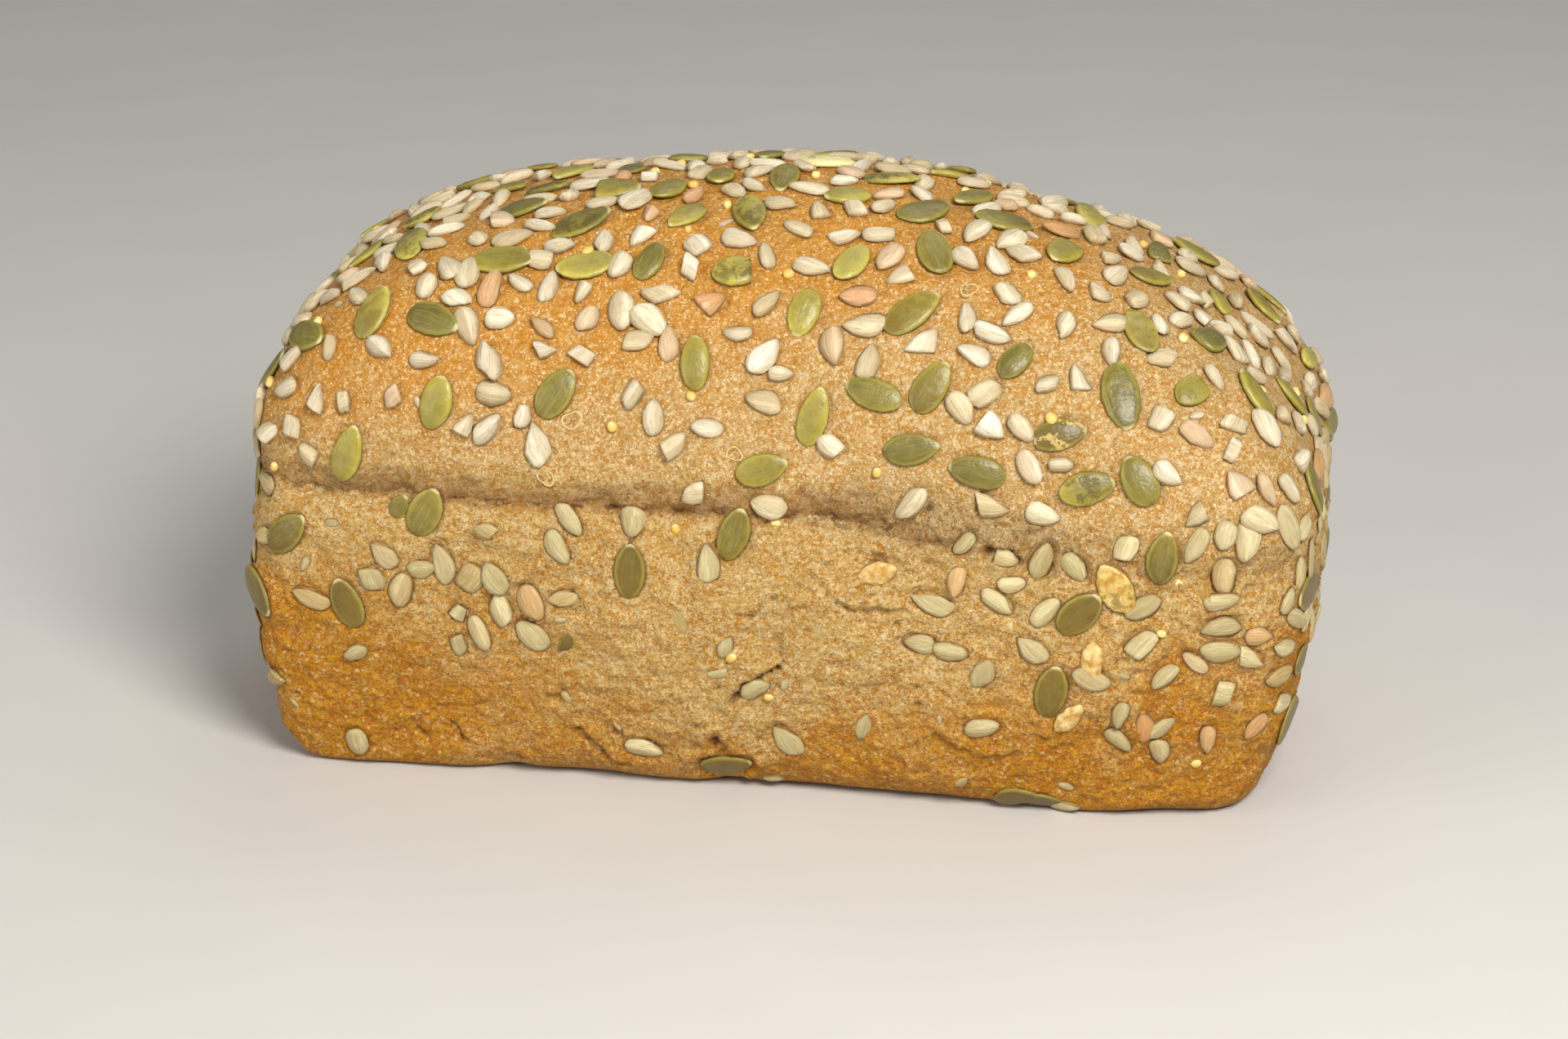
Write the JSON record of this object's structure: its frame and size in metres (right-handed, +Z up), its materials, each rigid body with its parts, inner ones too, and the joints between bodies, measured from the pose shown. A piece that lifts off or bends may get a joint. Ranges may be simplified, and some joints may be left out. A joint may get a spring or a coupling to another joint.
{
  "type": "seeded multigrain loaf",
  "caption": "Tin-baked multigrain loaf, with sloping walls, a crease at the tin's rim, a full dome and pumpkin and sunflower seeds in the crust.",
  "frame": {"origin": "middle of the flat base that the loaf stands on", "axes": "+X along the loaf towards its right end as seen from the front, +Y towards the back, +Z up"},
  "size_m": [0.2274, 0.1131, 0.1248],
  "materials": {
    "crust": "baked crust, matt, golden brown with paler and darker flecks",
    "pumpkin_seed": "hulled pumpkin seed, olive green, slightly silky",
    "sunflower_seed": "hulled sunflower seed, cream to grey, some toasted",
    "millet_grain": "hulled millet, pale yellow, matt"
  },
  "bodies": {
    "root": {"loaf": "crust"}
  },
  "joints": []
}
